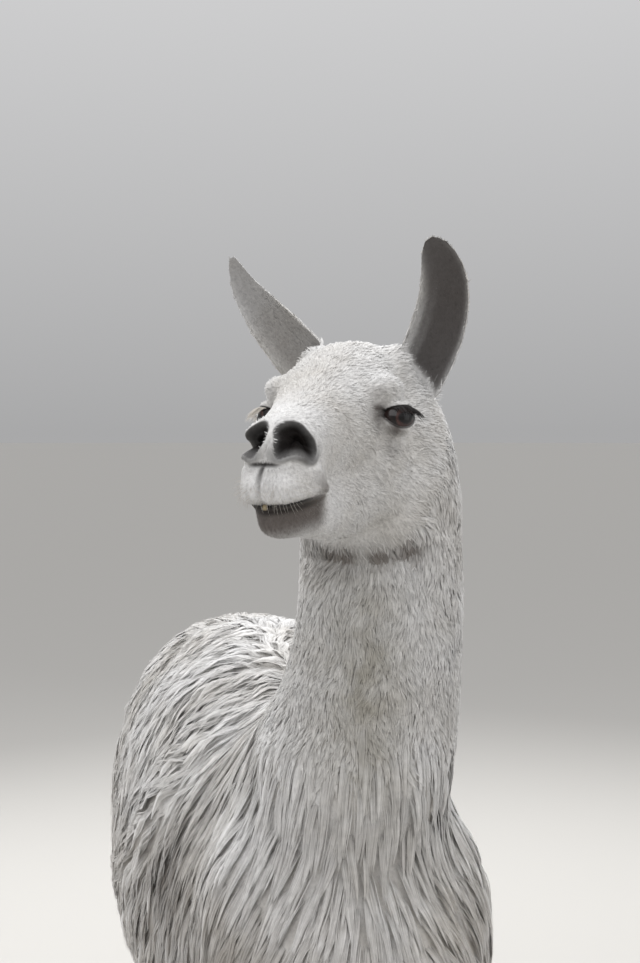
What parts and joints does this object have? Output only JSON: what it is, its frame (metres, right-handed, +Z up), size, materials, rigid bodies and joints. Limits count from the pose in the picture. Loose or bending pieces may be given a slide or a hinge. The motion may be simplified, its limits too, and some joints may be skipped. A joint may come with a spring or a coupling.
{
  "type": "standing llama, life-size still model",
  "caption": "White woolly llama standing square with its head turned to its right, whole body with fleece, cupped ears, toenails and dark eyes, for display on a floor.",
  "frame": {"origin": "on the floor, under the middle of the model's bounding box", "axes": "+Z up; the llama's body faces -Y, its right side is -X and its left side +X"},
  "size_m": [0.5042, 1.3274, 1.6476],
  "materials": {
    "fleece": "white to cream wool, long and wavy on the body, short on the face and lower legs",
    "nails": "dark horn, worn dull",
    "eyes": "wet, nearly black brown"
  },
  "bodies": {
    "root": {"trunk": "fleece", "neck": "fleece", "head": "fleece", "tail": "fleece", "ear_left": "fleece", "ear_right": "fleece", "foot_front_left": "fleece", "cannon_front_left": "fleece", "forearm_front_left": "fleece", "foot_front_right": "fleece", "cannon_front_right": "fleece", "forearm_front_right": "fleece", "foot_hind_left": "fleece", "cannon_hind_left": "fleece", "thigh_hind_left": "fleece", "foot_hind_right": "fleece", "cannon_hind_right": "fleece", "thigh_hind_right": "fleece", "nail_front_left_inner": "nails", "nail_front_left_outer": "nails", "nail_front_right_inner": "nails", "nail_front_right_outer": "nails", "nail_hind_left_inner": "nails", "nail_hind_left_outer": "nails", "nail_hind_right_inner": "nails", "nail_hind_right_outer": "nails", "eye_left": "eyes", "eye_right": "eyes"}
  },
  "joints": []
}
